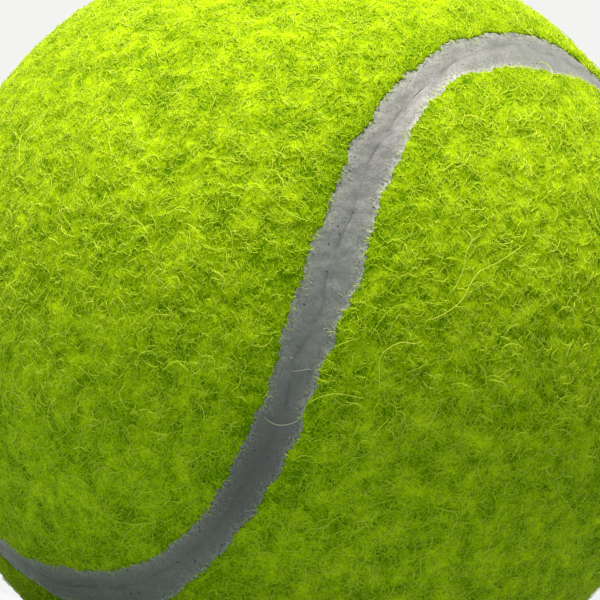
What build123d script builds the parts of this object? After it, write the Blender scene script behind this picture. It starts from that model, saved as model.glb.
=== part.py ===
from build123d import *
import math
import os

# A tennis ball: a hollow rubber core moulded in two halves, a coat of rubber cement
# over it, and two dog-bone panels of felt. The edge of each panel is dipped in grey
# seam rubber, and the two dipped edges meet in one endless seam.
# Lengths are millimetres, and the origin is the centre of the ball. The seam winds
# round +Z: the neck of one panel crosses the top of the ball, and the neck of the
# other, a quarter turn round, crosses the bottom.

# Layers, from the outside in
BALL_DIAMETER = 67.0
FELT_THICKNESS = 3.1
CEMENT_COAT = 0.2
CORE_WALL = 3.3
CORE_JOINT = 0.2

# Hairline between curved faces that are bonded together
BOND_LINE = 0.02

# Seam: the neck and the widths are measured along the surface of the ball
PANEL_NECK = 40.0
SEAM_WIDTH = 3.6
SEAM_RECESS = 0.9
CREASE_WIDTH = 0.8
CREASE_DEPTH = 0.3
FELT_EDGE_RADIUS = 0.6

# A lap of the seam is eight equal arcs, each drawn through evenly spaced points, with
# slopes taken over a small turn, in radians, to either side of a point
SEAM_ARCS = 8
ARC_STEPS = 6
SMALL_TURN = 0.001

# How near to the surface of the ball a line has to be to lie on it
ON_SURFACE = 0.001

ball_radius = BALL_DIAMETER / 2
seam_radius = ball_radius - SEAM_RECESS
felt_back_radius = ball_radius - FELT_THICKNESS
coat_radius = felt_back_radius - BOND_LINE
coat_back_radius = coat_radius - CEMENT_COAT
core_radius = coat_back_radius - BOND_LINE
hollow_radius = core_radius - CORE_WALL
felt_edge = SEAM_WIDTH / 2
seam_edge = felt_edge - BOND_LINE
seam_middle = BOND_LINE / 2
crease_edge = CREASE_WIDTH / 2


def shell(outer, inner):
    """A hollow sphere, with its own meridian turned to where the seam crosses it squarely."""
    return (Rot(Z=45) * (Sphere(outer) - Sphere(inner))).solid()


def seam_direction(t):
    """Unit vector to the middle of the seam, which closes on itself as t runs once round a circle."""
    neck_angle = PANEL_NECK / 2 / ball_radius
    climb = math.sin(2 * t) / (2 * math.tan(neck_angle))
    return Vector(math.cos(t) ** 3, math.sin(t) ** 3, climb).normalized()


def beside_seam(t, aside):
    """Unit vector to a point some way from the middle of the seam, towards the upper panel."""
    middle = seam_direction(t)
    along = seam_direction(t + SMALL_TURN) - seam_direction(t - SMALL_TURN)
    across = middle.cross(along).normalized()
    angle = aside / ball_radius
    return middle * math.cos(angle) + across * math.sin(angle)


def seam_line(aside, radius, turns):
    """A smooth line beside the seam at one radius, through a point for each turn."""
    slopes = [
        (beside_seam(t + SMALL_TURN, aside) - beside_seam(t - SMALL_TURN, aside)) * radius / (2 * SMALL_TURN)
        for t in (turns[0], turns[-1])
    ]
    points = [beside_seam(t, aside) * radius for t in turns]
    return Edge.make_spline(points, tangents=slopes, parameters=turns, scale=False)


def seam_surface(rim, other_rim):
    """A surface that follows the whole seam between two rims, each a distance aside and a radius."""
    faces = []
    for arc in range(SEAM_ARCS):
        turns = [2 * math.pi * (arc + step / ARC_STEPS) / SEAM_ARCS for step in range(ARC_STEPS + 1)]
        faces.append(Face.make_surface_from_curves(seam_line(*rim, turns), seam_line(*other_rim, turns)))
    return Shell(faces)


def seam_wall(aside):
    """A wall that stands square to the ball along the whole seam, through every layer."""
    return seam_surface((aside, hollow_radius), (aside, ball_radius + FELT_THICKNESS))


def cut_to(solid, surfaces, kept):
    """What is left of a solid round one point, cut along each surface in turn."""
    for surface in surfaces:
        solid = next(s for s in solid.split(surface, keep=Keep.ALL) if s.is_inside(kept))
    return solid


def core_half():
    """The moulded rubber half that lies over the joint of the core."""
    joint_face = Plane.XY.offset(CORE_JOINT / 2)
    return shell(core_radius, hollow_radius).split(joint_face, keep=Keep.TOP)


def core_joint():
    """The ring of cement between the ground edges of the two halves."""
    slab = Box(BALL_DIAMETER, BALL_DIAMETER, CORE_JOINT)
    return shell(core_radius, hollow_radius) & slab


def felt_panel():
    """The panel whose neck crosses the top, with its nap rounded over along the seam."""
    middle = Vector(0, 0, (ball_radius + felt_back_radius) / 2)
    panel = cut_to(shell(ball_radius, felt_back_radius), [seam_wall(felt_edge)], middle)
    lines = panel.edges().filter_by(GeomType.BSPLINE)
    rim = lines.filter_by(lambda line: math.isclose((line @ 0.5).length, ball_radius, abs_tol=ON_SURFACE))
    return fillet(rim, FELT_EDGE_RADIUS)


def seam_half():
    """The dipped edge of the upper panel, from its felt to the crease where the two edges meet."""
    crease_side = seam_surface(
        (-crease_edge, seam_radius - 2 * CREASE_DEPTH),
        (2 * crease_edge, seam_radius + CREASE_DEPTH),
    )
    middle = beside_seam(0, seam_edge / 2) * (felt_back_radius + seam_radius) / 2
    walls = [seam_wall(seam_edge), seam_wall(seam_middle), crease_side]
    return cut_to(shell(seam_radius, felt_back_radius), walls, middle)


pieces = {
    "core_joint_cement": core_joint(),
    "core_cement_coat": shell(coat_radius, coat_back_radius),
}
pairs = {"core_half": core_half(), "felt_panel": felt_panel(), "seam_edge": seam_half()}
for name, upper in pairs.items():
    pieces[f"{name}_upper"] = upper
    # The ball looks the same turned half round about its X axis, through a bend of the seam
    pieces[f"{name}_lower"] = Rot(X=180) * upper

os.makedirs("parts", exist_ok=True)
for name, piece in pieces.items():
    export_step(piece, f"parts/{name}.step")
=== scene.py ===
"""A tennis ball, dressed in Blender around its CAD frame.

Two dog-bone panels of felt with a nap of loose curly fibres, the two dipped edges of
grey rubber that meet in one endless seam, and the rubber core under them. Sizes are
written in millimetres around the centre of the ball, and meshes are made in metres.
"""

import logging
import math
from dataclasses import dataclass, field
from enum import Enum

import bpy
import numpy as np
from bpy.types import ID, Material, Mesh, Node, NodeSocket, NodeTree, Object
from mathutils import Matrix, Vector
from mathutils.geometry import delaunay_2d_cdt


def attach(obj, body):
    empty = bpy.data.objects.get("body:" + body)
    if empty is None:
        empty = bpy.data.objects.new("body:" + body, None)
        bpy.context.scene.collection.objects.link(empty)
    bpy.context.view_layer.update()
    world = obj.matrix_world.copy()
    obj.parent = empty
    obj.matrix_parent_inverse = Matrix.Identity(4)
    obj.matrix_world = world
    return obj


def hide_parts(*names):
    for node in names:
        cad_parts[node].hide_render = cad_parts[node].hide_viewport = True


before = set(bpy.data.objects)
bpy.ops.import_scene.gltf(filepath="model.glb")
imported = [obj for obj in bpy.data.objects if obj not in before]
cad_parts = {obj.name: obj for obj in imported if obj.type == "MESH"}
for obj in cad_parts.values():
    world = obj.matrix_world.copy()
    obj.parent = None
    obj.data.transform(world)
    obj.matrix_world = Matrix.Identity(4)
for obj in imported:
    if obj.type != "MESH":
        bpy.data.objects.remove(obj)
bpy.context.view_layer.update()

MM = 0.001
BALL_RADIUS = 33.5
FELT_BACK_RADIUS = 30.41
FULL_TURN = 2 * math.pi
BAKE_MAP = "OFBake"

# Nearly all of a noise lies between these, around its middle
NOISE_RANGE = (0.3, 0.7)
NOISE_MIDDLE = (0.5, 0.5, 0.5)

# The waves of a wandering line, against its typical one: their lengths, and the least height
WAVE_BAND = (0.4, 1.6)
LEAST_WAVE = 0.3

# Blender's names of the nodes that are used most
MATH = "ShaderNodeMath"
VECTOR = "ShaderNodeVectorMath"
NOISE = "ShaderNodeTexNoise"
RANGE = "ShaderNodeMapRange"
MIX = "ShaderNodeMix"
BUMP = "ShaderNodeBump"
ATTRIBUTE = "ShaderNodeAttribute"
NAMED = "GeometryNodeInputNamedAttribute"
STORE = "GeometryNodeStoreNamedAttribute"
CAPTURE = "GeometryNodeCaptureAttribute"
MOVE = "GeometryNodeSetPosition"
REALIZE = "GeometryNodeRealizeInstances"
CHANCE = "FunctionNodeRandomValue"

log = logging.getLogger("tennis_ball")


def linear(colour: str) -> tuple[float, float, float, float]:
    """Turns an sRGB hex colour to linear light.

    Args:
        colour: Six hex digits after a hash sign.

    Returns:
        Linear red, green and blue, and an alpha of one.
    """
    parts = (int(colour[i:i + 2], 16) / 255 for i in (1, 3, 5))
    lit = [p / 12.92 if p <= 0.04045 else ((p + 0.055) / 1.055) ** 2.4 for p in parts]
    return (lit[0], lit[1], lit[2], 1.0)


def per_metre(size: float) -> float:
    """The scale of a pattern whose features are this many millimetres across."""
    return 1 / (size * MM)


def feed(tree: NodeTree, node: Node, inputs: dict[str | int, object]) -> None:
    """Gives inputs of a node their values and links.

    Args:
        tree: The tree that the node is in.
        node: The node.
        inputs: For each input by name or number, a value, a socket to link from, or a
            node to link from by its first output in use.
    """
    for key, value in inputs.items():
        if isinstance(value, Node):
            value = next(socket for socket in value.outputs if socket.enabled)
        if isinstance(value, NodeSocket):
            tree.links.new(value, node.inputs[key])
        else:
            node.inputs[key].default_value = value


def add_node(
    tree: NodeTree, kind: str, inputs: dict[str | int, object] | None = None, **settings: object
) -> Node:
    """Adds a node with its settings and links.

    Args:
        tree: The tree that the node goes into.
        kind: Blender's name of the node's type.
        inputs: What each input gets, as in feed.
        **settings: Properties of the node.

    Returns:
        The new node.
    """
    node = tree.nodes.new(kind)
    for name, value in settings.items():
        setattr(node, name, value)
    feed(tree, node, inputs or {})
    return node


def work_out(
    tree: NodeTree, known: dict[str, object], steps: tuple[tuple[object, ...], ...]
) -> None:
    """Adds a chain of nodes, each fed by results before it.

    Args:
        tree: The tree that the nodes go into.
        known: Nodes, sockets and values by name. The result of each step joins them.
        steps: The name of each result, the node's type, its operation and its inputs in
            order, which are names, plain values, or None where one is left alone.
    """
    for name, kind, operation, *terms in steps:
        fed = {
            number: known[term] if isinstance(term, str) else term
            for number, term in enumerate(terms)
            if term is not None
        }
        known[name] = add_node(tree, kind, fed, operation=operation)


def new_tree(name: str, **inputs: tuple[str, ...]) -> NodeTree:
    """Starts a Geometry Nodes tree with a mesh and a finish going in and a mesh coming out.

    Args:
        name: The tree's name.
        **inputs: The labels of its other inputs, for each kind of socket.

    Returns:
        The tree, with its group input node named Sizes and its output node named Made.
    """
    tree = bpy.data.node_groups.new(name, "GeometryNodeTree")
    tree.interface.new_socket(name="Mesh", in_out="OUTPUT", socket_type="NodeSocketGeometry")
    for kind, labels in {"Geometry": ("Mesh",), "Material": ("Finish",), **inputs}.items():
        for label in labels:
            tree.interface.new_socket(
                name=label, in_out="INPUT", socket_type=f"NodeSocket{kind}"
            )
    add_node(tree, "NodeGroupInput", name="Sizes")
    add_node(tree, "NodeGroupOutput", name="Made")
    return tree


def lift(tree: NodeTree, details: dict[str, float], mark: str) -> tuple[Node, Node]:
    """Works out how far noise lifts each point away from the centre of the ball.

    Args:
        tree: A tree from new_tree, with a height and a scale for each label.
        details: The detail of each label's noise.
        mark: The attribute that says what share of the lift a point gets.

    Returns:
        The height of the noise, and the lift as a vector.
    """
    size = tree.nodes["Sizes"].outputs
    place = add_node(tree, "GeometryNodeInputPosition")
    low, high = NOISE_RANGE
    level: object = 0.0
    for label, detail in details.items():
        pattern = {"Vector": place, "Scale": size[f"{label} Scale"], "Detail": detail}
        noise = add_node(tree, NOISE, pattern)
        spread = add_node(tree, RANGE, {0: noise, 1: low, 2: high, 3: -1.0, 4: 1.0}, clamp=False)
        level = add_node(
            tree, MATH, {0: spread, 1: size[label], 2: level}, operation="MULTIPLY_ADD"
        )
    share = add_node(tree, NAMED, {"Name": mark})
    known: dict[str, object] = {"place": place, "level": level, "share": share}
    steps = (
        ("height", MATH, "MULTIPLY", "level", "share"),
        ("outward", VECTOR, "NORMALIZE", "place"),
        ("offset", VECTOR, "SCALE", "outward", None, None, "height"),
    )
    work_out(tree, known, steps)
    return level, known["offset"]


def end_tree(tree: NodeTree, made: Node) -> None:
    """Ends a tree by giving what it made the finish that went in.

    Args:
        tree: A tree from new_tree.
        made: The node with what was made.
    """
    finish = tree.nodes["Sizes"].outputs["Finish"]
    real = add_node(tree, REALIZE, {"Geometry": made})
    dressed = add_node(tree, "GeometryNodeSetMaterial", {"Geometry": real, "Material": finish})
    feed(tree, tree.nodes["Made"], {0: dressed})


def add_object(name: str, data: ID) -> Object:
    """Adds an object to the scene, at the origin.

    Args:
        name: The object's name.
        data: Its mesh, lamp or camera.

    Returns:
        The object.
    """
    made = bpy.data.objects.new(name, data)
    bpy.context.scene.collection.objects.link(made)
    return made


def grow(name: str, mesh: Mesh, tree: NodeTree, values: dict[str, object]) -> Object:
    """Makes an object whose plain mesh is what a tree makes of another mesh.

    Args:
        name: The new piece's name.
        mesh: The mesh that goes into the tree.
        tree: A tree from new_tree.
        values: The value of each named input.

    Returns:
        The piece, at the origin and with no modifier left.
    """
    piece = add_object(name, mesh)
    modifier = piece.modifiers.new(tree.name, "NODES")
    modifier.node_group = tree
    for item in tree.interface.items_tree:
        if item.in_out == "INPUT" and item.name in values:
            modifier[item.identifier] = values[item.name]
    graph = bpy.context.evaluated_depsgraph_get()
    made = bpy.data.meshes.new_from_object(
        piece.evaluated_get(graph), preserve_all_data_layers=True, depsgraph=graph
    )
    piece.modifiers.clear()
    piece.data = made
    made.name = name
    return piece


def new_material(name: str) -> tuple[Material, NodeTree, Node]:
    """Starts a node material.

    Args:
        name: The material's name.

    Returns:
        The material, its nodes and its shader.
    """
    made = bpy.data.materials.new(name)
    made.use_nodes = True
    return made, made.node_tree, made.node_tree.nodes["Principled BSDF"]


def new_mesh(
    name: str, places: np.ndarray, faces: list[list[int]], marks: dict[str, np.ndarray]
) -> Mesh:
    """Makes a smooth-shaded mesh with a number at each of its points.

    Args:
        name: The mesh's name.
        places: Its points in millimetres.
        faces: The points round each face, seen from outside.
        marks: The numbers of each named attribute.

    Returns:
        The mesh, in metres.
    """
    mesh = bpy.data.meshes.new(name)
    mesh.from_pydata((places * MM).tolist(), [], faces)
    for label, numbers in marks.items():
        layer = mesh.attributes.new(label, "FLOAT", "POINT")
        layer.data.foreach_set("value", np.asarray(numbers, np.float32).ravel())
    mesh.polygons.foreach_set("use_smooth", np.ones(len(mesh.polygons), bool))
    return mesh


def lay_map(mesh: Mesh, corners: np.ndarray) -> None:
    """Gives a mesh its map for baked textures, from the place of each corner of each face."""
    layer = mesh.uv_layers.new(name=BAKE_MAP)
    layer.uv.foreach_set("vector", corners.astype(np.float32).ravel())


def unit(vectors: np.ndarray) -> np.ndarray:
    """The same vectors with a length of one."""
    return vectors / np.linalg.norm(vectors, axis=-1, keepdims=True)


def bell(distance: np.ndarray, width: float) -> np.ndarray:
    """A smooth hump, one high at no distance and about this wide to either side."""
    return np.exp(-((distance / width) ** 2))


def from_start(lap: np.ndarray, lap_length: float) -> np.ndarray:
    """Distances along a lap, counted either way from its start."""
    return (lap + lap_length / 2) % lap_length - lap_length / 2


def inside_out(corners: np.ndarray, outward: np.ndarray) -> bool:
    """Whether a face with these corners looks away from where a vector points."""
    a, b, c = corners[:3]
    return bool(np.dot(np.cross(b - a, c - a), outward) < 0)


def wander(
    lap: np.ndarray, lap_length: float, wave: float, rng: np.random.Generator
) -> np.ndarray:
    """A smooth random line of unit size that closes on itself after one lap.

    Args:
        lap: Distances along the lap.
        lap_length: The length of the lap.
        wave: The typical length of a wave.
        rng: Where the waves' sizes and phases come from.

    Returns:
        The line's height at each distance.
    """
    fewest, most = (int(lap_length / wave * share) for share in WAVE_BAND)
    waves = np.arange(max(1, fewest), most + 2)[:, None]
    sizes = rng.uniform(LEAST_WAVE, 1, waves.shape)
    phases = rng.uniform(0, FULL_TURN, waves.shape)
    total = (sizes * np.cos(FULL_TURN * waves * lap / lap_length + phases)).sum(0)
    return total / math.sqrt((sizes ** 2).sum() / 2)


class Side(Enum):
    """The two twins of the cover, which are alike under a half turn about the X axis."""

    UPPER = "upper"
    LOWER = "lower"

    def turned(self, places: np.ndarray) -> np.ndarray:
        """Places worked out for the upper twin, moved to this side."""
        return places * (1, self.way, self.way)

    @property
    def way(self) -> int:
        """Which way round the lap of this side runs, against that of the upper one."""
        return 1 if self is Side.UPPER else -1


@dataclass(frozen=True)
class SeamCourse:
    """The endless line along the middle of the seam, the same as in the CAD source."""

    neck: float = 40.0
    # Slopes are taken over a small turn, in radians, to either side of a point
    small_turn: float = 0.001
    # The lap is measured at this many points, and searched at this step in this many blocks
    samples: int = 20000
    search_step: float = 0.0778875
    search_blocks: int = 60

    def middle(self, turn: np.ndarray) -> np.ndarray:
        """Unit vectors to the middle of the seam, which closes after a full turn."""
        climb = np.sin(2 * turn) / (2 * math.tan(self.neck / 2 / BALL_RADIUS))
        return unit(np.stack([np.cos(turn) ** 3, np.sin(turn) ** 3, climb], -1))

    def across(self, turn: np.ndarray) -> np.ndarray:
        """Unit vectors square to the seam, towards the upper panel."""
        along = self.middle(turn + self.small_turn) - self.middle(turn - self.small_turn)
        return unit(np.cross(self.middle(turn), along))

    def beside(self, turn: np.ndarray, aside: np.ndarray | float) -> np.ndarray:
        """Unit vectors to points some millimetres aside of the seam, on the ball's surface."""
        angle = np.asarray(aside)[..., None] / BALL_RADIUS
        return self.middle(turn) * np.cos(angle) + self.across(turn) * np.sin(angle)

    def even_turns(self, step: float) -> tuple[np.ndarray, np.ndarray, float]:
        """Divides the seam evenly.

        Args:
            step: About how far apart its points are.

        Returns:
            The turn and the distance at each point, and the length of the whole lap.
        """
        turns = np.linspace(0, FULL_TURN, self.samples + 1)
        steps = np.linalg.norm(np.diff(self.middle(turns), axis=0), axis=1)
        lengths = np.concatenate([[0], np.cumsum(steps)]) * BALL_RADIUS
        laps = np.linspace(0, lengths[-1], int(lengths[-1] / step), endpoint=False)
        return np.interp(laps, lengths, turns), laps, float(lengths[-1])

    def nearest(self, directions: np.ndarray) -> tuple[np.ndarray, np.ndarray]:
        """Finds where points of the ball lie beside the seam.

        Args:
            directions: Unit vectors to the points.

        Returns:
            How far aside each one is, positive on the upper panel, and how far along.
        """
        turns, laps, _ = self.even_turns(self.search_step)
        middles, acrosses = self.middle(turns), self.across(turns)
        blocks = np.array_split(directions, self.search_blocks)
        near = np.concatenate([np.argmax(block @ middles.T, 1) for block in blocks])
        sine = (directions * acrosses[near]).sum(1)
        return np.arcsin(sine.clip(-1, 1)) * BALL_RADIUS, laps[near]


@dataclass(frozen=True)
class RaggedEdge:
    """The uneven line along which the felt of one panel ends and its dipped rubber begins."""

    seed: int
    measured: tuple[float, ...]
    measured_step: float = 0.75
    half_width: float = 1.72
    scallop: float = 0.28
    scallop_length: float = 8.0
    # The more, the squarer the scallops
    scallop_cut: float = 1.6
    nick: float = 0.13
    nick_length: float = 2.2
    tear: float = 0.06
    tear_length: float = 0.7
    fade: float = 5.0
    # How much of the rubber the fibres of the rim hide
    overhang: float = 0.2

    def at(self, lap: np.ndarray, lap_length: float) -> np.ndarray:
        """The rubber's width from the middle of the seam, at distances along a lap.

        The photograph shows one stretch of the seam, either side of the start of the lap.
        Its width is measured there, and wanders in the same way on the rest of the lap.

        Args:
            lap: Distances along the lap.
            lap_length: The length of the lap.

        Returns:
            The width at each distance.
        """
        rng = np.random.default_rng(self.seed)
        scallops = np.tanh(self.scallop_cut * wander(lap, lap_length, self.scallop_length, rng))
        nicks = wander(lap, lap_length, self.nick_length, rng)
        tears = wander(lap, lap_length, self.tear_length, rng)
        chance = self.half_width + self.scallop * scallops + self.nick * nicks
        reach = (len(self.measured) - 1) / 2 * self.measured_step
        distance = from_start(lap, lap_length)
        stations = np.linspace(-reach, reach, len(self.measured))
        seen = np.interp(distance, stations, self.measured)
        share = ((reach - np.abs(distance)) / self.fade).clip(0, 1)
        return chance + (seen - chance) * share + self.tear * tears + self.overhang


@dataclass(frozen=True)
class PartingLine:
    """The wandering line along which the two dipped edges meet."""

    seed: int = 31
    sway: float = 0.08
    sway_length: float = 12.0
    bow: float = 0.5
    bow_at: float = -5.2
    bow_length: float = 2.6

    def at(self, lap: np.ndarray, lap_length: float, side: Side) -> np.ndarray:
        """How far the line is from the middle of the seam, towards one side's felt.

        Args:
            lap: Distances along the lap of that side.
            lap_length: The length of the lap.
            side: The side.

        Returns:
            The distance at each place.
        """
        rng = np.random.default_rng(self.seed)
        sways = self.sway * wander(side.way * lap, lap_length, self.sway_length, rng)
        distance = from_start(side.way * lap, lap_length)
        return side.way * (sways + self.bow * bell(distance - self.bow_at, self.bow_length))


@dataclass(frozen=True)
class FeltFinish:
    """Wool and nylon felt, dyed, napped and steamed.

    A matt mat of tangled fibres: yellow-green, with a fine net of lighter strands, painted
    shade that darkens its hollows and its dip by the seam, and a soft sheen at the rim.
    """

    light: str = "#C2E810"
    dark: str = "#507F00"
    # The fibres are 0.03 mm thick. Strands are drawn coarser, so that they show.
    strand_spacing: float = 0.29
    strand_length: float = 1.5
    strand_band: tuple[float, float] = (0.45, 0.498)
    strand_height: float = 0.12
    curl: float = 1.1
    curl_size: float = 1.3
    mottle_size: float = 1.8
    # How light the mottled patches are, what a strand adds to that, and the painted shade that a
    # hollow takes off
    patch_shades: tuple[float, float] = (0.18, 0.66)
    strand_shade: float = 0.6
    hollow_shade: float = -0.5
    headings: tuple[tuple[float, float, float], ...] = (
        (0.3, 0.9, 0.2),
        (1.2, 0.4, 2.0),
        (2.1, 1.5, 0.7),
        (0.8, 2.4, 1.3),
        (1.7, 0.2, 2.8),
    )

    def strands(self, tree: NodeTree, place: NodeSocket) -> Node:
        """Draws the net of strands, as streaks that lie every way and are bent by a slow curl.

        Args:
            tree: The material's nodes.
            place: The place on the felt.

        Returns:
            A node that gives one on a strand, and nought between strands.
        """
        bend = add_node(tree, NOISE, {"Vector": place, "Scale": per_metre(self.curl_size)})
        known: dict[str, object] = {"place": place, "bend": bend.outputs["Color"], "highest": 0.0}
        steps = (
            ("level", VECTOR, "SUBTRACT", "bend", NOISE_MIDDLE),
            ("curled", VECTOR, "MULTIPLY_ADD", "level", (self.curl * MM,) * 3, "place"),
        )
        work_out(tree, known, steps)
        size = (self.strand_length * MM, self.strand_spacing * MM, self.strand_spacing * MM)
        for heading in self.headings:
            turned = {"Vector": known["curled"], "Rotation": heading, "Scale": size}
            laid = add_node(tree, "ShaderNodeMapping", turned, vector_type="TEXTURE")
            known["streak"] = add_node(tree, NOISE, {"Vector": laid, "Scale": 1.0, "Detail": 0.5})
            steps = (
                ("crest", MATH, "PINGPONG", "streak", 0.5),
                ("highest", MATH, "MAXIMUM", "crest", "highest"),
            )
            work_out(tree, known, steps)
        low, high = self.strand_band
        return add_node(tree, RANGE, {0: known["highest"], 1: low, 2: high})

    def material(self) -> Material:
        """Builds the node material of the mat under the loose fibres.

        Returns:
            The material.
        """
        made, tree, shader = new_material("wool_nylon_felt")
        place = add_node(tree, "ShaderNodeTexCoord").outputs["Object"]
        strands = self.strands(tree, place)
        pattern = {"Vector": place, "Scale": per_metre(self.mottle_size), "Detail": 2.0}
        mottle = add_node(tree, NOISE, pattern)
        limits = dict(enumerate((*NOISE_RANGE, *self.patch_shades), 1))
        patches = add_node(tree, RANGE, {0: mottle} | limits)
        # Painted shade: the felt's colour darkens in the hollows of its relief and in its dip by
        # the seam
        hollow = add_node(tree, ATTRIBUTE, attribute_name="hollow").outputs["Fac"]
        depth = add_node(
            tree, MATH, {0: hollow, 1: self.hollow_shade, 2: patches}, operation="MULTIPLY_ADD"
        )
        share = add_node(
            tree,
            MATH,
            {0: strands, 1: self.strand_shade, 2: depth},
            operation="MULTIPLY_ADD",
            use_clamp=True,
        )
        shades = {0: share, 6: linear(self.dark), 7: linear(self.light)}
        looks = {
            "Base Color": add_node(tree, MIX, shades, data_type="RGBA"),
            "Normal": add_node(
                tree,
                BUMP,
                {"Strength": 0.3, "Distance": self.strand_height * MM, "Height": strands},
            ),
            "Roughness": 0.95,
            "Specular IOR Level": 0.05,
            "Sheen Weight": 0.1,
            "Sheen Roughness": 0.5,
            "Sheen Tint": linear(self.light),
        }
        feed(tree, shader, looks)
        return made


@dataclass(frozen=True)
class NapFinish:
    """Dyed wool and nylon staple: single fibres, each a little lighter or deeper than the next, and
    deeper with painted shade in a hollow or by the seam.
    """

    name: str = "dyed_wool_staple"
    deep: str = "#BCE315"
    pale: str = "#E8FB56"

    def material(self) -> Material:
        """Builds the node material, whose colour is drawn once for each fibre.

        Returns:
            The material.
        """
        made, tree, shader = new_material(self.name)
        tint = add_node(tree, ATTRIBUTE, attribute_name="tint").outputs["Fac"]
        shades = {0: tint, 6: linear(self.deep), 7: linear(self.pale)}
        colour = add_node(tree, MIX, shades, data_type="RGBA")
        feed(tree, shader, {"Base Color": colour, "Roughness": 0.7, "Specular IOR Level": 0.1})
        return made


@dataclass(frozen=True)
class SeamRubberFinish:
    """Natural rubber filled with clay and zinc white, dipped and cured against the felt.

    Matt and grey, mottled where the coat is thinner, with pinholes left by air, and paler
    and greener along the felt, where the rubber has soaked into the fibres.
    """

    body: str = "#899189"
    worn: str = "#787E79"
    dirt: str = "#656865"
    # The colour of the darker stretches of the seam
    soil: str = "#4F5350"
    soaked: str = "#BAC4AC"
    pinhole: str = "#1C1E1C"
    mottle_size: float = 1.1
    grit_size: float = 0.2
    grit_height: float = 0.06
    # The grit's values where the soaked fringe begins and where it is full
    fringe_band: tuple[float, float] = (0.40, 0.56)
    pinhole_spacing: float = 0.9
    pinhole_radius: float = 0.09
    # The shares of its radius at which a pinhole begins and is full
    pinhole_rim: tuple[float, float] = (1.2, 0.7)

    def material(self) -> Material:
        """Builds the node material of the seam.

        Returns:
            The material.
        """
        made, tree, shader = new_material("cured_seam_rubber")
        place = add_node(tree, "ShaderNodeTexCoord").outputs["Object"]
        mottle, grit = (
            add_node(tree, NOISE, {"Vector": place, "Scale": per_metre(size), "Detail": 3.0})
            for size in (self.mottle_size, self.grit_size)
        )
        spots = {"Vector": place, "Scale": per_metre(self.pinhole_spacing)}
        holes = add_node(tree, "ShaderNodeTexVoronoi", spots)
        reach = self.pinhole_radius / self.pinhole_spacing
        near_felt, middle, soil = (
            add_node(tree, ATTRIBUTE, attribute_name=name).outputs["Fac"]
            for name in ("near_felt", "middle", "soil")
        )
        begins, full = self.fringe_band
        fringe = add_node(tree, RANGE, {0: grit, 1: begins, 2: full})
        soak = add_node(
            tree, MATH, {0: near_felt, 1: fringe}, operation="MULTIPLY", use_clamp=True
        )
        # What each colour follows, the values where it begins and is full, and the colour
        layers = (
            (mottle, 0.35, 0.65, self.worn),
            (grit, 0.62, 0.40, self.worn),
            (middle, 0.0, 1.3, self.dirt),
            (soil, 0.0, 1.0, self.soil),
            (soak, 0.0, 1.1, self.soaked),
            (holes, *(reach * share for share in self.pinhole_rim), self.pinhole),
        )
        colour: object = linear(self.body)
        for source, begins, full, over in layers:
            share = add_node(tree, RANGE, {0: source, 1: begins, 2: full})
            shades = {0: share, 6: colour, 7: linear(over)}
            colour = add_node(tree, MIX, shades, data_type="RGBA")
        relief = {"Strength": 0.5, "Distance": self.grit_height * MM, "Height": grit}
        looks = {
            "Base Color": colour,
            "Normal": add_node(tree, BUMP, relief),
            "Roughness": 0.55,
            "IOR": 1.52,
        }
        feed(tree, shader, looks)
        return made


@dataclass(frozen=True)
class HiddenRubberFinish:
    """Rubber under the cover: dull, with a fine grain left by buffing or by drying."""

    name: str
    body: str
    worn: str
    grain_size: float
    roughness: float
    grain_height: float = 0.05

    def material(self) -> Material:
        """Builds the node material.

        Returns:
            The material.
        """
        made, tree, shader = new_material(self.name)
        place = add_node(tree, "ShaderNodeTexCoord").outputs["Object"]
        pattern = {"Vector": place, "Scale": per_metre(self.grain_size), "Detail": 5.0}
        grain = add_node(tree, NOISE, pattern)
        shades = {0: grain, 6: linear(self.worn), 7: linear(self.body)}
        relief = {"Strength": 0.3, "Distance": self.grain_height * MM, "Height": grain}
        looks = {
            "Base Color": add_node(tree, MIX, shades, data_type="RGBA"),
            "Normal": add_node(tree, BUMP, relief),
            "Roughness": self.roughness,
            "IOR": 1.52,
        }
        feed(tree, shader, looks)
        return made


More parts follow.
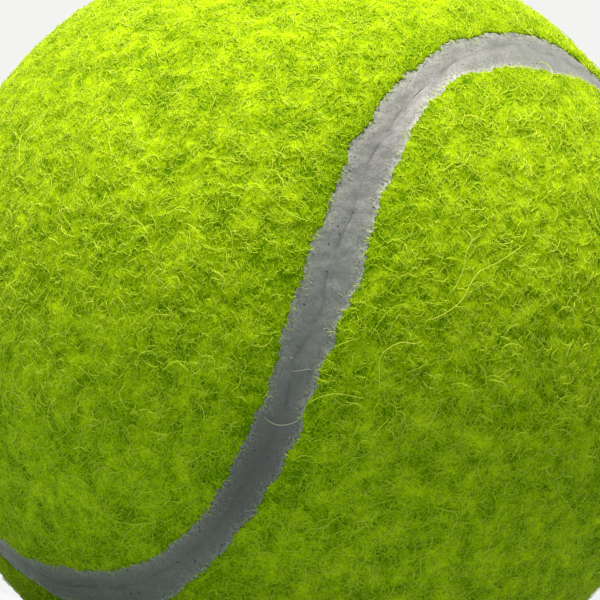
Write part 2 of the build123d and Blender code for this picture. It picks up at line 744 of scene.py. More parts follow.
@dataclass
class FeltPanel:
    """One dog-bone panel: a closed mat of felt from its backing to its rolled, ragged rim."""

    side: Side
    course: SeamCourse
    edge: RaggedEdge
    mat_radius: float = 33.28
    rim_step: float = 0.18
    # Rows of the rim from the rubber inwards: inset, share of the lip, radius, inset on the map
    rim_rows: tuple[tuple[float, float, float, float], ...] = (
        (0.00, 0.0, 32.90, -0.40),
        (0.00, 1.0, 32.95, -0.25),
        (0.03, 0.8, 33.00, -0.12),
        (0.13, 0.4, 33.05, 0.05),
        (0.32, 0.1, 33.10, 0.32),
        (0.60, 0.0, 33.14, 0.60),
        (0.92, 0.0, 33.17, 0.92),
    )
    # The lip bulges out over the rubber here and there, and nowhere past its most
    lip: float = 0.10
    lip_length: float = 0.7
    lip_bias: float = 0.4
    lip_most: float = 1.8
    lip_seed: int = 50
    # The mat sinks towards the seam, where it was pressed down, and painted shade darkens it there
    dip: float = 0.16
    dip_width: float = 2.6
    dip_shade: float = 0.5
    # Points of the mat, and the share of their spacing that they keep off the rim
    spacing: float = 0.34
    back_spacing: float = 2.2
    rim_clear: float = 0.6
    # Heights and widths of the clumps and tufts, and the depth at which the painted shade of a
    # hollow is darkest
    clump: float = 0.08
    clump_size: float = 2.6
    tuft: float = 0.11
    tuft_size: float = 0.85
    painted_shade_depth: float = 0.18
    # Where the nap is: it rises over the first width, and the rim ends where the inner part starts
    lift_width: float = 1.2
    rim_width: float = 0.9
    inner_width: float = 1.5
    # On the bake's map: heights of the front and the back, their length, and the wall's growth
    front_map: tuple[float, float] = (0.01, 0.58)
    back_map: tuple[float, float] = (0.60, 0.97)
    map_length: float = 0.98
    wall_map: float = 1.03
    # Points nearer than this, on a ball of unit size, are one
    same_point: float = 1e-9
    # The blank that a panel is cut from, and the panel's own area before it is stretched
    flat_size: tuple[float, float] = (52.0, 159.0)
    flat_area: float = 5900.0

    def spots(self, spacing: float) -> np.ndarray:
        """Spreads points evenly over the whole ball, along a spiral of golden angles.

        Args:
            spacing: About how far apart they are.

        Returns:
            Unit vectors to them.
        """
        count = int(4 * math.pi * BALL_RADIUS ** 2 / spacing ** 2)
        number = np.arange(count) + 0.5
        height = 1 - 2 * number / count
        turn = number * math.pi * (3 - math.sqrt(5))
        level = np.sqrt(1 - height ** 2)
        return np.stack([level * np.cos(turn), level * np.sin(turn), height], 1)

    def tiles(self, directions: np.ndarray, rim_count: int) -> np.ndarray:
        """Joins points of the panel with triangles.

        Args:
            directions: Unit vectors to the points, those of the rim first and in order.
            rim_count: How many of them are on the rim.

        Returns:
            The three points of each triangle, turned outwards.
        """
        flat = directions[:, :2] / (1 + directions[:, 2:])
        loop = [(i, (i + 1) % rim_count) for i in range(rim_count)]
        points = [Vector(p) for p in flat.tolist()]
        inside_only = 1
        made = delaunay_2d_cdt(points, loop, [], inside_only, self.same_point)
        faces = np.array([[made[3][corner][0] for corner in face] for face in made[2]])
        a, b, c = (directions[faces[:, i]] for i in range(3))
        inward = (np.cross(b - a, c - a) * a).sum(1) < 0
        faces[inward] = faces[inward][:, ::-1]
        return faces

    def map_places(self, directions: np.ndarray, heights: tuple[float, float]) -> np.ndarray:
        """Lays the panel out at its full length on the bake's map.

        Args:
            directions: Unit vectors to points of the panel.
            heights: The lowest and the highest place on the map that they may take.

        Returns:
            The place of each point.
        """
        low, high = heights
        flat = directions[:, :2] * np.sqrt(2 / (1 + directions[:, 2:]))
        long_way, short_way = flat @ (1, -1), flat @ (1, 1)
        scale = min(self.map_length / np.ptp(long_way), (high - low) / np.ptp(short_way))
        middle = (low + high) / 2
        return np.stack([0.5 + scale * long_way, middle + scale * short_way], 1)

    def tree(self) -> NodeTree:
        """Builds the tree that raises clumps and tufts on the smooth mat.

        Returns:
            The tree, which also stores the painted shade of the hollows and of the dip by the seam.
        """
        tree = new_tree(
            f"felt_mat_{self.side.value}", Float=("Clump", "Clump Scale", "Tuft", "Tuft Scale")
        )
        level, offset = lift(tree, {"Clump": 1.0, "Tuft": 2.0}, "lift")
        # Painted shade: a mask that darkens the colour in the hollows of the relief
        depth = self.painted_shade_depth * MM
        hollow = add_node(tree, RANGE, {0: level, 1: depth, 2: -depth, 3: 0.0, 4: 1.0})
        dip = add_node(tree, NAMED, {"Name": "dip"})
        # Painted shade by the seam joins the painted shade of the hollows
        shaded = add_node(
            tree,
            MATH,
            {0: dip, 1: self.dip_shade, 2: hollow},
            operation="MULTIPLY_ADD",
            use_clamp=True,
        )
        mesh = tree.nodes["Sizes"].outputs["Mesh"]
        marked = add_node(tree, STORE, {"Geometry": mesh, "Name": "hollow", "Value": shaded})
        end_tree(tree, add_node(tree, MOVE, {"Geometry": marked, "Offset": offset}))
        return tree

    def build(self, finish: Material) -> Object:
        """Builds the panel as one closed mesh.

        Args:
            finish: The felt's material.

        Returns:
            The panel.
        """
        turns, laps, lap_length = self.course.even_turns(self.rim_step)
        edge = self.edge.at(laps, lap_length)
        rim = len(turns)
        rng = np.random.default_rng(self.edge.seed + self.lip_seed)
        waves = wander(laps, lap_length, self.lip_length, rng)
        lip = self.lip * (self.lip_bias + waves).clip(0, self.lip_most)
        insets, shares, radii, map_insets = np.array(self.rim_rows).T
        parts = []
        for spacing, clear in ((self.spacing, insets[-1]), (self.back_spacing, 0.0)):
            spots = self.spots(spacing)
            aside, lap = self.course.nearest(spots)
            inset = aside - np.interp(lap, laps, edge, period=lap_length)
            inside = inset > clear + self.rim_clear * spacing
            parts.append((spots[inside], inset[inside]))
        (spots, spot_inset), (back_spots, _) = parts

        # Points: the rows of the rim, the mat, and then the back with a rim of its own
        rows = [
            self.course.beside(turns, edge + inset - share * lip)
            for inset, share in zip(insets, shares)
        ]
        front = np.concatenate([*rows, spots])
        back = np.concatenate([self.course.beside(turns, edge), back_spots])
        inset = np.concatenate([np.repeat(insets, rim), spot_inset])
        dip = np.exp(-(inset / self.dip_width).clip(0))
        radius = self.mat_radius - self.dip * dip
        radius[:rim * len(rows)] = np.repeat(radii, rim)
        places = np.concatenate([front * radius[:, None], back * FELT_BACK_RADIUS])
        outer_row = np.arange(len(front)) < rim
        marks = {
            "lift": (inset / self.lift_width).clip(0, 1),
            "dip": dip,
            "inner": ((inset - self.rim_width) / self.inner_width).clip(0, 1),
            "rim": (inset < self.rim_width) & ~outer_row,
        }
        marks = {name: np.concatenate([v, np.zeros(len(back))]) for name, v in marks.items()}

        # Faces: bands between the rows, both sides, and the wall between their rims
        last = rim * (len(rows) - 1)
        here = np.arange(rim)
        after = (here + 1) % rim
        band = np.stack([here, after, after + rim, here + rim], 1)
        corners = places[band[0] + last - rim]
        if inside_out(corners, corners[0]):
            band = band[:, ::-1]
        bands = np.concatenate([band + rim * row for row in range(len(rows) - 1)])
        front_faces = self.tiles(front[last:], rim) + last
        back_faces = self.tiles(back, rim)[:, ::-1] + len(front)
        wall = np.stack([here, here + len(front), after + len(front), after], 1)
        outside = self.course.beside(turns[:1], edge[:1] - 1.0)[0] - front[0]
        if inside_out(places[wall[0]], outside):
            wall = wall[:, ::-1]
        faces = [face for part in (bands, front_faces, back_faces, wall) for face in part.tolist()]
        mesh = new_mesh("felt", self.side.turned(places), faces, marks)

        # The map: the wall is a thin band round the back
        map_rows = [self.course.beside(turns, edge + inset) for inset in map_insets]
        front_map = self.map_places(np.concatenate([*map_rows, spots]), self.front_map)
        back_map = self.map_places(back, self.back_map)
        centre = np.array((0.5, sum(self.back_map) / 2))
        outer_map = (back_map[:rim] - centre) * self.wall_map + centre
        on_map = np.concatenate([front_map, back_map, outer_map])
        wall_corners = np.where(wall < len(front), wall + len(front) + len(back), wall)
        parts = (bands, front_faces, back_faces, wall_corners)
        lay_map(mesh, np.concatenate([on_map[part].reshape(-1, 2) for part in parts]))
        values = {
            "Clump": self.clump * MM,
            "Clump Scale": per_metre(self.clump_size),
            "Tuft": self.tuft * MM,
            "Tuft Scale": per_metre(self.tuft_size),
            "Finish": finish,
        }
        return grow(f"felt_{self.side.value}", mesh, self.tree(), values)


@dataclass(frozen=True)
class Staple:
    """One sort of loose fibre: how many there are, and how long, bent and crimped they are."""

    name: str
    per_square_mm: float
    length: tuple[float, float]
    bend_radius: tuple[float, float]
    crimp: tuple[float, float]
    rise: tuple[float, float]
    points: int
    # A real fibre is 0.03 mm thick. These are drawn coarser, so that each one shows.
    thickness: float = 0.045
    waves: float = 1.3
    free_end: float = 0.0
    sink: float = 0.06
    mark: str = "lift"
    flow: float = 2.5
    lots: int = 1


@dataclass(frozen=True)
class LaidFibres:
    """Single fibres or rolls with places of their own: how thick they are, and their points."""

    name: str
    thickness: float
    paths: tuple[tuple[tuple[float, float, float], ...], ...]


@dataclass
class Nap:
    """The loose fibres on the felt, which lie every way and dip in and out of the mat."""

    # The nap lies in swirls about this far across
    swirl_size: float = 3.0
    # Fibres differ in tint by the first, and those in a hollow or by the seam get painted shade by
    # the second
    shade: float = 0.5
    hollow_shade: float = -0.5
    sides: int = 3
    laid_step: float = 0.2
    # On the bake's map a fibre runs up a narrow lane that its tint chooses
    lanes: float = 0.97
    lane_width: float = 0.03
    lane_run: float = 0.9
    lane_bend: float = 0.1
    bend_at: float = 0.4
    tree: NodeTree = field(init=False)

    def __post_init__(self) -> None:
        """Builds the tree once, for every sort of fibre."""
        self.tree = self.fibre_tree()

    def fibre_tree(self) -> NodeTree:
        """Builds the tree that grows fibres on the marked part of a mesh.

        Returns:
            The tree.
        """
        ranges = ("Length", "Bend", "Crimp", "Rise")
        ends = tuple(f"{end} {name}" for name in ranges for end in ("Least", "Most"))
        tree = new_tree(
            "nap_fibres",
            String=("Mark",),
            Int=("Seed", "Points"),
            Float=("Density", "Flow", "Waves", "Free End", "Sink", "Thickness", *ends),
        )
        size = tree.nodes["Sizes"].outputs
        known: dict[str, object] = {socket.name: socket for socket in size}

        # What is drawn by chance once for each fibre
        place = add_node(tree, "GeometryNodeInputPosition")
        known["mark"] = add_node(tree, NAMED, {"Name": size["Mark"]})
        # Painted shade: fibres rooted in a hollow or by the seam get a deeper tint
        known["hollow"] = add_node(tree, NAMED, {"Name": "hollow"})
        swirl = add_node(tree, NOISE, {"Vector": place, "Scale": per_metre(self.swirl_size)})
        known["swirl"] = swirl.outputs["Color"]
        cube = {0: (-1.0, -1.0, -1.0), 1: (1.0, 1.0, 1.0), "Seed": 1}
        known["any way"] = add_node(tree, CHANCE, cube, data_type="FLOAT_VECTOR")
        limits = {name: (size[f"Least {name}"], size[f"Most {name}"]) for name in ranges}
        limits |= {"Phase": (0.0, FULL_TURN), "shade": (0.0, self.shade)}
        for seed, (name, (least, most)) in enumerate(limits.items(), 2):
            known[name] = add_node(tree, CHANCE, {2: least, 3: most, "Seed": seed})
        steps = (
            ("density", MATH, "MULTIPLY", "Density", "mark"),
            ("level swirl", VECTOR, "SUBTRACT", "swirl", NOISE_MIDDLE),
            ("drift", VECTOR, "SCALE", "level swirl", None, None, "Flow"),
            ("Aim", VECTOR, "ADD", "any way", "drift"),
            ("dulled", MATH, "MULTIPLY_ADD", "hollow", self.hollow_shade, "shade"),
            ("Tint", MATH, "ADD", "dulled", 1 - self.shade),
        )
        work_out(tree, known, steps)
        lots = {"Mesh": size["Mesh"], "Density": known["density"], "Seed": size["Seed"]}
        spread = add_node(tree, "GeometryNodeDistributePointsOnFaces", lots)
        drawn = add_node(tree, CAPTURE, {"Geometry": spread}, domain="POINT")
        known["Root"] = place
        for name in ("Root", "Aim", *ranges, "Phase", "Tint"):
            drawn.capture_items.new("VECTOR" if name in ("Root", "Aim") else "FLOAT", name)
            feed(tree, drawn, {name: known[name]})
            known[name] = drawn.outputs[name]

        # A straight line stands at each root, and its points move to the fibre's bent course
        line = add_node(tree, "GeometryNodeCurvePrimitiveLine", {"End": (1.0, 0.0, 0.0)})
        count = {"Curve": line, "Count": size["Points"]}
        divided = add_node(tree, "GeometryNodeResampleCurve", count)
        stand = {"Points": drawn, "Instance": divided}
        planted = add_node(tree, "GeometryNodeInstanceOnPoints", stand)
        real = add_node(tree, REALIZE, {"Geometry": planted})
        known["along"] = add_node(tree, "GeometryNodeSplineParameter")
        steps = (
            ("outward", VECTOR, "NORMALIZE", "Root"),
            ("lean", VECTOR, "DOT_PRODUCT", "Aim", "outward"),
            ("upright", VECTOR, "SCALE", "outward", None, None, "lean"),
            ("level aim", VECTOR, "SUBTRACT", "Aim", "upright"),
            ("ahead", VECTOR, "NORMALIZE", "level aim"),
            ("aside", VECTOR, "CROSS_PRODUCT", "outward", "ahead"),
            ("run", MATH, "MULTIPLY", "Length", "along"),
            ("angle", MATH, "DIVIDE", "run", "Bend"),
            ("sine", MATH, "SINE", "angle"),
            ("forth", MATH, "MULTIPLY", "sine", "Bend"),
            ("cosine", MATH, "COSINE", "angle"),
            ("turned", MATH, "SUBTRACT", 1.0, "cosine"),
            ("arc", MATH, "MULTIPLY", "turned", "Bend"),
            ("cycle", MATH, "MULTIPLY", "Waves", FULL_TURN),
            ("beat", MATH, "MULTIPLY_ADD", "along", "cycle", "Phase"),
            ("wave", MATH, "SINE", "beat"),
            ("sway", MATH, "MULTIPLY_ADD", "wave", "Crimp", "arc"),
            ("left", MATH, "SUBTRACT", 1.0, "along"),
            ("quarter bow", MATH, "MULTIPLY", "along", "left"),
            ("bow", MATH, "MULTIPLY", "quarter bow", 4.0),
            ("loose", MATH, "SUBTRACT", "along", "bow"),
            ("share", MATH, "MULTIPLY_ADD", "loose", "Free End", "bow"),
            ("climb", MATH, "ADD", "Rise", "Sink"),
            ("over", MATH, "MULTIPLY", "share", "climb"),
            ("height", MATH, "SUBTRACT", "over", "Sink"),
            ("on", VECTOR, "SCALE", "ahead", None, None, "forth"),
            ("off", VECTOR, "SCALE", "aside", None, None, "sway"),
            ("moved", VECTOR, "ADD", "on", "off"),
            ("reach", VECTOR, "ADD", "Root", "moved"),
            ("way", VECTOR, "NORMALIZE", "reach"),
            ("ground", VECTOR, "LENGTH", "Root"),
            ("radius", MATH, "ADD", "ground", "height"),
            ("Position", VECTOR, "SCALE", "way", None, None, "radius"),
        )
        work_out(tree, known, steps)
        shaped = add_node(tree, MOVE, {"Geometry": real, "Position": known["Position"]})
        self.thread(tree, shaped, known["Tint"])
        return tree

    def laid_tree(self) -> NodeTree:
        """Builds the tree that makes a smooth fibre along each row of edges of a mesh.

        Returns:
            The tree.
        """
        tree = new_tree("laid_fibres", Float=("Step", "Thickness"))
        size = tree.nodes["Sizes"].outputs
        line = add_node(tree, "GeometryNodeMeshToCurve", {"Mesh": size["Mesh"]})
        smooth = add_node(
            tree, "GeometryNodeCurveSplineType", {"Curve": line}, spline_type="CATMULL_ROM"
        )
        count = {"Curve": smooth, "Length": size["Step"]}
        divided = add_node(tree, "GeometryNodeResampleCurve", count, mode="LENGTH")
        self.thread(tree, divided, 1.0)
        return tree

    def thread(self, tree: NodeTree, line: Node, tint: object) -> None:
        """Ends a tree by giving bent lines their section, tint, map and finish.

        Args:
            tree: The tree, which has an input named Thickness.
            line: The node with the lines.
            tint: How pale each fibre is.
        """
        along = add_node(tree, "GeometryNodeSplineParameter")
        rail = add_node(tree, CAPTURE, {"Geometry": line}, domain="POINT")
        thickness = tree.nodes["Sizes"].outputs["Thickness"]
        radius = add_node(tree, MATH, {0: thickness, 1: 0.5}, operation="MULTIPLY")
        circle = {"Resolution": self.sides, "Radius": radius}
        ring = add_node(tree, "GeometryNodeCurvePrimitiveCircle", circle)
        section = add_node(tree, CAPTURE, {"Geometry": ring}, domain="POINT")
        known: dict[str, object] = {"tint": tint}
        for keeper, name in ((rail, "along"), (section, "round")):
            keeper.capture_items.new("FLOAT", name)
            feed(tree, keeper, {name: along})
            known[name] = keeper.outputs[name]
        steps = (
            ("lane", MATH, "MULTIPLY", "tint", self.lanes),
            ("x", MATH, "MULTIPLY_ADD", "round", self.lane_width, "lane"),
            ("bent", MATH, "PINGPONG", "round", self.bend_at),
            ("run", MATH, "MULTIPLY", "along", self.lane_run),
            ("y", MATH, "MULTIPLY_ADD", "bent", self.lane_bend, "run"),
        )
        work_out(tree, known, steps)
        on_map = add_node(tree, "ShaderNodeCombineXYZ", {0: known["x"], 1: known["y"]})
        sweep = {"Curve": rail, "Profile Curve": section, "Fill Caps": True}
        tube = add_node(tree, "GeometryNodeCurveToMesh", sweep)
        smooth = add_node(tree, "GeometryNodeSetShadeSmooth", {"Geometry": tube})
        tinted = add_node(tree, STORE, {"Geometry": smooth, "Name": "tint", "Value": tint})
        mapped = add_node(
            tree,
            STORE,
            {"Geometry": tinted, "Name": BAKE_MAP, "Value": on_map},
            data_type="FLOAT2",
            domain="CORNER",
        )
        end_tree(tree, mapped)

    def lay(self, laid: LaidFibres, finish: Material) -> Object:
        """Lays single long fibres along their paths.

        Args:
            laid: The fibres.
            finish: Their material.

        Returns:
            The fibres as one piece.
        """
        mesh = bpy.data.meshes.new(laid.name)
        ends = np.cumsum([0, *(len(path) for path in laid.paths)])
        links = [
            (i, i + 1) for start, end in zip(ends, ends[1:]) for i in range(start, end - 1)
        ]
        points = [[v * MM for v in point] for path in laid.paths for point in path]
        mesh.from_pydata(points, links, [])
        values = {
            "Step": self.laid_step * MM,
            "Thickness": laid.thickness * MM,
            "Finish": finish,
        }
        return grow(laid.name, mesh, self.laid_tree(), values)

    def grow_on(self, carrier: Object, staple: Staple, seed: int, finish: Material) -> Object:
        """Grows one lot of fibres on a built piece.

        Args:
            carrier: The panel or the strip that they grow on.
            staple: The sort of fibre.
            seed: Sets where they stand.
            finish: The fibres' material.

        Returns:
            The fibres as one piece.
        """
        values: dict[str, object] = {
            "Mark": staple.mark,
            "Flow": staple.flow,
            "Density": staple.per_square_mm / MM ** 2,
            "Seed": seed,
            "Points": staple.points,
            "Thickness": staple.thickness * MM,
            "Waves": staple.waves,
            "Free End": staple.free_end,
            "Sink": staple.sink * MM,
            "Finish": finish,
        }
        ranges = {
            "Length": staple.length,
            "Bend": staple.bend_radius,
            "Crimp": staple.crimp,
            "Rise": staple.rise,
        }
        for name, (least, most) in ranges.items():
            values |= {f"Least {name}": least * MM, f"Most {name}": most * MM}
        name = f"{staple.name}_{carrier.name.split('_')[-1]}_{seed}"
        return grow(name, carrier.data, self.tree, values)


@dataclass
class SeamEdge:
    """The dipped edge of one panel: a strip of rubber from the crease to the ragged felt."""

    side: Side
    course: SeamCourse
    edge: RaggedEdge
    parting: PartingLine
    surface_radius: float = 32.84
    step: float = 0.18
    columns: int = 18
    clearance: float = 0.02
    # The two edges meet in a shallow valley, whose crease gapes in places
    crease_gap: float = 0.002
    crease: float = 0.04
    crease_width: float = 0.12
    gape: float = 0.7
    gape_length: float = 6.0
    gape_bias: float = -0.2
    gape_most: float = 1.2
    valley: float = 0.08
    valley_width: float = 0.8
    # Dirt that gathers along the crease
    dirt: float = 0.6
    dirt_length: float = 5.0
    dirt_bias: float = 0.2
    dirt_width: float = 0.30
    # Stretches of the seam that are darker: middle, length, amount
    darker_stretches: tuple[tuple[float, float, float], ...] = ((-16.0, 11.0, 1.0), (14.0, 6.0, 0.35))
    # The rubber creeps up the felt, and a pale fringe of it is soaked into the fibres
    meniscus: float = 0.08
    meniscus_width: float = 0.25
    fringe_width: float = 0.5
    # How much of the pale fringe a darker stretch hides
    fringe_hiding: float = 0.5
    lump: float = 0.06
    lump_size: float = 1.3
    top_seed: int = 100
    # On the bake's map the strip lies in rows, each with a margin along it and over it
    map_rows: int = 16
    map_length: float = 0.98
    map_height: float = 0.95

    def tree(self) -> NodeTree:
        """Builds the tree that makes the strip's top uneven.

        Returns:
            The tree.
        """
        tree = new_tree(f"seam_lumps_{self.side.value}", Float=("Lump", "Lump Scale"))
        _, offset = lift(tree, {"Lump": 3.0}, "top")
        mesh = tree.nodes["Sizes"].outputs["Mesh"]
        end_tree(tree, add_node(tree, MOVE, {"Geometry": mesh, "Offset": offset}))
        return tree

    def build(self, finish: Material) -> Object:
        """Builds the strip as one closed mesh.

        Args:
            finish: The rubber's material.

        Returns:
            The strip.
        """
        turns, laps, lap_length = self.course.even_turns(self.step)
        edge = self.edge.at(laps, lap_length)[:, None] - self.clearance
        share = (1 - np.cos(np.linspace(0, math.pi, self.columns))) / 2
        start = self.parting.at(laps, lap_length, self.side)[:, None] + self.crease_gap
        aside = start + (edge - start) * share
        rng = np.random.default_rng(self.edge.seed + self.top_seed)
        gapes = self.gape * wander(laps, lap_length, self.gape_length, rng)[:, None]
        dirts = self.dirt * wander(laps, lap_length, self.dirt_length, rng)[:, None]
        opened = (gapes + self.gape_bias).clip(0, self.gape_most)
        soiled = (self.dirt_bias + dirts).clip(0, 1)

        # Each ring of points runs over the top and back under the strip
        radius = (
            self.surface_radius
            - self.valley * bell(aside - start, self.valley_width)
            - self.crease * opened * bell(aside - start, self.crease_width)
            + self.meniscus * bell(edge - aside, self.meniscus_width)
        )
        around = self.columns + 2
        asides = np.concatenate([aside, aside[:, -1:], aside[:, :1]], 1)
        radii = np.concatenate([radius, np.full((len(turns), 2), FELT_BACK_RADIUS)], 1)
        places = self.course.beside(np.repeat(turns, around), asides.ravel())
        places = places * radii.reshape(-1, 1)
        top = (radii > FELT_BACK_RADIUS).astype(float)
        distance = from_start(self.side.way * laps, lap_length)
        # Each darker stretch is a bell along the lap, on the top of the strip
        stretches = [amount * bell(distance - at, size) for at, size, amount in self.darker_stretches]
        soil = sum(stretches)[:, None] * top
        fringe_left = 1 - self.fringe_hiding * soil
        marks = {
            "near_felt": np.exp(-((edge - asides) / self.fringe_width)) * top * fringe_left,
            "middle": soiled * bell(asides - start, self.dirt_width) * top,
            "soil": soil,
            "top": top,
        }

        # Faces between the rings, and the corners of each on the map
        ring, spot = np.divmod(np.arange(len(places)), around)
        next_ring, next_spot = (ring + 1) % len(turns), (spot + 1) % around
        rings = np.stack([ring, next_ring, next_ring, ring], 1)
        faces = rings * around + np.stack([spot, spot, next_spot, next_spot], 1)
        row, run = np.divmod(ring / len(turns) * self.map_rows, 1)
        run_on = run + self.map_rows / len(turns)
        height = np.stack([spot, spot, spot + 1, spot + 1], 1) / (around + 1)
        along = np.stack([run, run_on, run_on, run], 1) * self.map_length
        up = (row[:, None] + self.map_height * height) / self.map_rows
        corners = np.stack([along, up], 2)
        if inside_out(places[faces[1]], places[faces[1, 0]]):
            faces, corners = faces[:, ::-1], corners[:, ::-1]
        mesh = new_mesh("seam", self.side.turned(places), faces.tolist(), marks)
        lay_map(mesh, corners.reshape(-1, 2))
        values = {
            "Lump": self.lump * MM,
            "Lump Scale": per_metre(self.lump_size),
            "Finish": finish,
        }
        return grow(f"seam_{self.side.value}", mesh, self.tree(), values)


@dataclass
class Core:
    """The CAD pieces under the cover, which keep their shapes and get their finishes here."""

    rubber: HiddenRubberFinish = HiddenRubberFinish(
        "buffed_core_rubber", "#2B2B2D", "#1E1E20", grain_size=0.4, roughness=0.85
    )
    cement: HiddenRubberFinish = HiddenRubberFinish(
        "dried_rubber_cement", "#A69068", "#8C7751", grain_size=0.9, roughness=0.6
    )

    def dress(self) -> None:
        """Gives each piece its material."""
        nodes = {
            self.rubber: ("core_half_upper", "core_half_lower"),
            self.cement: ("core_cement_coat", "core_joint_cement"),
        }
        for finish, names in nodes.items():
            made = finish.material()
            for name in names:
                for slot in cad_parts[name].material_slots:
                    slot.material = made
                log.info("%s: %s", name, finish.name)


@dataclass
class Studio:
    """A pale floor, soft light from overhead, and a long lens close to the floor."""

    camera_place: tuple[float, float, float] = (428.97, -5.96, -29.26)
    away: tuple[float, float, float] = (-0.99726, 0.01096, 0.07311)
    roll: float = 17.72
    lens: float = 301.5
    sensor: float = 36.0
    nearest: float = 10.0
    furthest: float = 100000.0
    light_from: tuple[float, float, float] = (0.15, -0.267, 0.951)
    sky: float = 0.08
    sky_colour: str = "#EAFFF9"
    lamp_power: float = 6.8
    lamp_spread: float = 38.0
    lamp_colour: str = "#FFF1ED"
    floor_colour: str = "#B3BCBF"
    floor_bounce: str = "#94A3A6"
    floor_size: float = 30000.0
    backdrop: str = "#F3F4F2"

    def place_camera(self) -> None:
        """Puts the camera where the photograph was taken from."""
        lens = bpy.data.cameras.new("camera")
        lens.lens, lens.sensor_width = self.lens, self.sensor
        lens.clip_start, lens.clip_end = self.nearest * MM, self.furthest * MM
        camera = add_object("camera", lens)
        away = Vector(self.away).normalized()
        plumb = (Vector((0, 0, 1)) - away * away.z).normalized()
        level = away.cross(plumb)
        roll = math.radians(self.roll)
        right = level * math.cos(roll) + plumb * math.sin(roll)
        up = plumb * math.cos(roll) - level * math.sin(roll)
        turn = Matrix((right, up, -away)).transposed()
        camera.matrix_world = Matrix.Translation(Vector(self.camera_place) * MM) @ turn.to_4x4()
        bpy.context.scene.camera = camera

    def light(self) -> None:
        """Hangs the overhead lamp and paints the sky that fills its shadows."""
        lamp = bpy.data.lights.new("overhead", "SUN")
        lamp.angle = math.radians(self.lamp_spread)
        lamp.energy = self.lamp_power
        lamp.color = linear(self.lamp_colour)[:3]
        hung = add_object("overhead", lamp)
        hung.rotation_euler = Vector(self.light_from).to_track_quat("Z", "Y").to_euler()
        world = bpy.data.worlds.new("studio")
        world.use_nodes = True
        bpy.context.scene.world = world
        tree = world.node_tree
        tree.nodes.clear()
        sky, backdrop = (
            add_node(tree, "ShaderNodeBackground", {"Color": linear(colour), "Strength": power})
            for colour, power in ((self.sky_colour, self.sky), (self.backdrop, 1.0))
        )
        parts = {0: self.seen_rays(tree), 1: sky, 2: backdrop}
        mixed = add_node(tree, "ShaderNodeMixShader", parts)
        add_node(tree, "ShaderNodeOutputWorld", {"Surface": mixed})

    def seen_rays(self, tree: NodeTree) -> Node:
        """Tells the rays that show a background from those that only bring its light.

        Args:
            tree: The nodes that ask.

        Returns:
            A node that gives one for a ray from the camera, a gloss or a glass.
        """
        path = add_node(tree, "ShaderNodeLightPath").outputs
        seen: object = path["Is Camera Ray"]
        for name in ("Is Glossy Ray", "Is Transmission Ray"):
            seen = add_node(tree, MATH, {0: seen, 1: path[name]}, operation="MAXIMUM")
        return seen

    def lay_floor(self) -> None:
        """Lays the floor of matt paper that the ball rests on."""
        half = self.floor_size / 2
        corners = np.array([(-half, -half, 0), (half, -half, 0), (half, half, 0), (-half, half, 0)])
        mesh = new_mesh("floor", corners - (0, 0, BALL_RADIUS), [[0, 1, 2, 3]], {})
        floor = add_object("floor", mesh)
        made, tree, shader = new_material("matt_paper")
        bounce, seen = linear(self.floor_bounce), linear(self.floor_colour)
        shades = {0: self.seen_rays(tree), 6: bounce, 7: seen}
        colour = add_node(tree, MIX, shades, data_type="RGBA")
        feed(tree, shader, {"Base Color": colour, "Roughness": 1.0, "Specular IOR Level": 0.0})
        mesh.materials.append(made)

    def build(self) -> None:
        """Sets the whole stage."""
        bpy.context.scene.view_settings.view_transform = "Standard"
        self.place_camera()
        self.light()
        self.lay_floor()


# Half widths of the seam in the stretch that the photograph shows, every 0.75 mm along it
UPPER_WIDTHS = (
    2.25, 2.21, 2.20, 2.03, 1.98, 2.11, 2.15, 2.22, 2.23, 2.10, 1.96, 1.93, 1.93, 1.89, 1.81, 1.73,
    1.67, 1.62, 1.55, 1.55, 1.46, 1.44, 1.34, 1.36, 1.33, 1.27, 1.44, 1.40, 1.30, 1.31, 1.31, 1.29,
    1.31, 1.26, 1.35, 1.38, 1.55, 1.42, 1.43, 1.54, 1.70, 1.72, 1.65, 1.65, 1.55, 1.68, 1.79, 1.57,
    1.38, 1.51, 1.69, 1.73, 1.60, 1.58, 1.74, 1.95, 2.04, 1.84, 1.95, 2.06, 2.02, 1.87, 1.67, 1.87,
    1.91, 1.94, 2.01, 1.96, 1.58, 1.55, 1.63, 1.75, 1.67, 1.68, 1.69, 1.65, 1.62, 1.88, 2.15, 1.74,
    1.63, 1.41, 1.49, 1.60, 1.69, 1.63, 1.58, 1.60, 1.45, 1.61, 1.41, 1.16, 1.23, 1.33, 1.40, 1.30,
    1.46, 1.61, 1.62, 1.53, 1.23, 1.11, 1.15, 1.27, 1.38, 1.32, 1.18, 1.20, 1.40, 1.44, 1.44, 1.57,
    1.78, 1.85, 1.75, 1.63, 1.63, 1.57, 1.52, 1.51, 1.63,
)
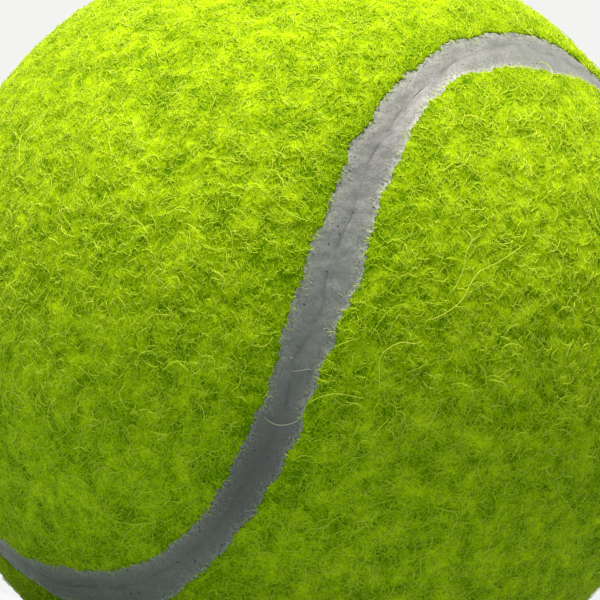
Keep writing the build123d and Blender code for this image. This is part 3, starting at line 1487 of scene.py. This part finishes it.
LOWER_WIDTHS = (
    2.41, 2.51, 2.68, 2.81, 2.69, 2.83, 2.87, 2.79, 2.85, 2.96, 2.97, 2.72, 2.78, 2.84, 2.73, 2.49,
    2.54, 2.36, 2.25, 2.19, 2.07, 2.18, 2.17, 1.77, 1.55, 1.33, 1.30, 1.29, 1.18, 1.35, 1.49, 1.29,
    1.23, 1.27, 1.35, 1.36, 1.42, 1.34, 1.66, 1.60, 1.69, 1.82, 1.73, 1.71, 1.96, 1.81, 1.58, 1.73,
    1.91, 1.87, 2.01, 2.08, 2.06, 2.10, 2.26, 2.34, 2.54, 2.43, 2.13, 2.16, 1.99, 1.75, 1.67, 1.92,
    2.01, 1.71, 1.50, 1.56, 1.65, 1.81, 1.43, 1.40, 1.49, 1.80, 1.91, 1.81, 1.63, 1.62, 1.76, 1.84,
    1.59, 1.48, 1.48, 1.60, 1.71, 1.71, 1.47, 1.39, 1.48, 1.66, 1.72, 1.65, 1.61, 1.78, 1.78, 1.89,
    1.77, 1.86, 2.08, 2.30, 2.29, 2.36, 2.44, 2.40, 2.35, 2.30, 2.25, 2.20, 2.15, 2.15, 2.10, 2.10,
    2.05, 2.05, 2.00, 2.00, 1.95, 1.95, 1.90, 1.90, 1.90,
)
EDGES = {
    Side.UPPER: RaggedEdge(seed=11, measured=UPPER_WIDTHS, overhang=0.3),
    Side.LOWER: RaggedEdge(seed=23, measured=LOWER_WIDTHS),
}

# Loose fibres: those of the mat, curls over it, strays, the rim's, and those soaked in rubber
MAT = Staple(
    "mat_fibres",
    per_square_mm=2.15,
    length=(0.5, 1.1),
    bend_radius=(0.3, 1.5),
    crimp=(0.0, 0.04),
    rise=(0.03, 0.22),
    points=3,
    waves=0.6,
    lots=3,
)
CURLY = Staple(
    "curly_fibres",
    per_square_mm=0.32,
    length=(1.2, 2.6),
    bend_radius=(0.5, 2.5),
    crimp=(0.03, 0.10),
    rise=(0.06, 0.32),
    points=6,
    thickness=0.06,
    mark="inner",
)
STRAY = Staple(
    "stray_fibres",
    per_square_mm=0.012,
    length=(2.5, 5.0),
    bend_radius=(1.0, 5.0),
    crimp=(0.05, 0.2),
    rise=(0.1, 0.7),
    points=12,
    thickness=0.065,
    free_end=0.6,
    mark="inner",
)
RIM = Staple(
    "rim_fibres",
    per_square_mm=9.0,
    length=(0.25, 0.65),
    bend_radius=(0.3, 1.2),
    crimp=(0.0, 0.04),
    rise=(0.0, 0.12),
    points=3,
    waves=0.6,
    mark="rim",
)
SOAKED = Staple(
    "soaked_fibres",
    per_square_mm=4.0,
    length=(0.2, 0.6),
    bend_radius=(0.3, 1.0),
    crimp=(0.0, 0.04),
    rise=(0.01, 0.06),
    points=3,
    waves=0.6,
    sink=0.02,
    mark="near_felt",
)
# Long fibres that catch the eye: a hook, two long bows and two arcs on the felt
LAID = LaidFibres("laid_fibres", thickness=0.065, paths=(
    ((32.2, 8.6, -0.4), (32.63, 8.0, -0.75), (32.81, 7.19, -0.9), (32.94, 6.49, -1.42),
     (33.0, 5.96, -2.14), (32.96, 5.84, -2.94), (32.77, 6.21, -4.08), (32.25, 6.62, -5.15)),
    ((32.09, 8.42, 1.30), (32.20, 9.23, 1.89), (32.04, 9.86, 2.56), (31.80, 10.39, 3.29),
     (31.60, 10.74, 4.08), (31.42, 10.88, 4.98), (31.18, 11.11, 5.91), (30.93, 11.42, 6.57),
     (30.37, 12.35, 7.46), (29.91, 12.99, 8.20), (29.36, 13.61, 9.03), (28.30, 14.25, 9.92)),
    ((29.97, 10.76, 9.41), (30.70, 10.20, 8.88), (31.02, 9.94, 8.31), (31.24, 9.87, 7.55),
     (31.36, 9.93, 6.94), (31.45, 10.02, 6.37), (31.62, 9.98, 5.43), (31.72, 9.81, 4.61),
     (31.56, 9.58, 3.80)),
    ((32.2, 1.48, -7.81), (32.7, 2.19, -7.08), (32.75, 3.31, -6.43), (32.6, 4.86, -6.15),
     (32.2, 5.56, -6.07)),
    ((33.0, 2.14, -2.92), (33.25, 2.86, -2.3), (32.85, 4.08, -1.51)),
))
# A loop that lies across the seam, stuck down by the rubber
LOOP = LaidFibres("laid_loop", thickness=0.055, paths=(
    ((31.42, -1.54, -9.77), (31.41, -1.09, -10.00), (31.38, -0.39, -10.12), (31.43, 0.30, -9.93),
     (31.57, 0.91, -9.52), (31.72, 1.28, -9.04)),
))
# A small roll of rubber that was pushed up where the two edges were pressed together
BURR = LaidFibres("rubber_burr", thickness=0.16, paths=(
    ((32.30, -0.51, -5.80), (32.42, 0.10, -5.54), (32.48, 0.78, -5.22), (32.44, 0.97, -5.38),
     (32.34, 0.94, -5.60)),
))


def cover(side: Side, course: SeamCourse, nap: Nap, finishes: dict[str, Material]) -> None:
    """Builds one panel with its nap and its dipped edge, and hands them to the frame.

    Args:
        side: Which of the twins.
        course: The line of the seam.
        nap: Grows the fibres.
        finishes: The materials by name.
    """
    panel = FeltPanel(side, course, EDGES[side])
    felt = panel.build(finishes["felt"])
    strip = SeamEdge(side, course, EDGES[side], PartingLine()).build(finishes["seam"])
    lots = [
        nap.grow_on(felt, staple, lot + 1, finishes["nap"])
        for staple in (MAT, CURLY, STRAY, RIM)
        for lot in range(staple.lots)
    ]
    lots.append(nap.grow_on(strip, SOAKED, 1, finishes["soaked"]))
    rubber = [strip]
    if side is Side.LOWER:
        lots.append(nap.lay(LAID, finishes["nap"]))
        lots.append(nap.lay(LOOP, finishes["soaked"]))
    else:
        rubber.append(nap.lay(BURR, finishes["seam"]))
    for piece in (felt, *lots, *rubber):
        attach(piece, "root")
        triangles = sum(len(face.vertices) - 2 for face in piece.data.polygons)
        log.info("%s: %d triangles", piece.name, triangles)
    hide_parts(f"felt_panel_{side.value}")
    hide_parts(f"seam_edge_{side.value}")


def main() -> None:
    """Builds the ball on its stage."""
    logging.basicConfig(level=logging.INFO, format="%(message)s")
    Studio().build()
    finishes = {
        "felt": FeltFinish().material(),
        "nap": NapFinish().material(),
        "soaked": NapFinish("rubber_soaked_staple", "#A8B28C", "#D0DAB4").material(),
        "seam": SeamRubberFinish().material(),
    }
    course = SeamCourse()
    nap = Nap()
    for side in Side:
        cover(side, course, nap, finishes)
    Core().dress()


if __name__ == "__main__":
    main()
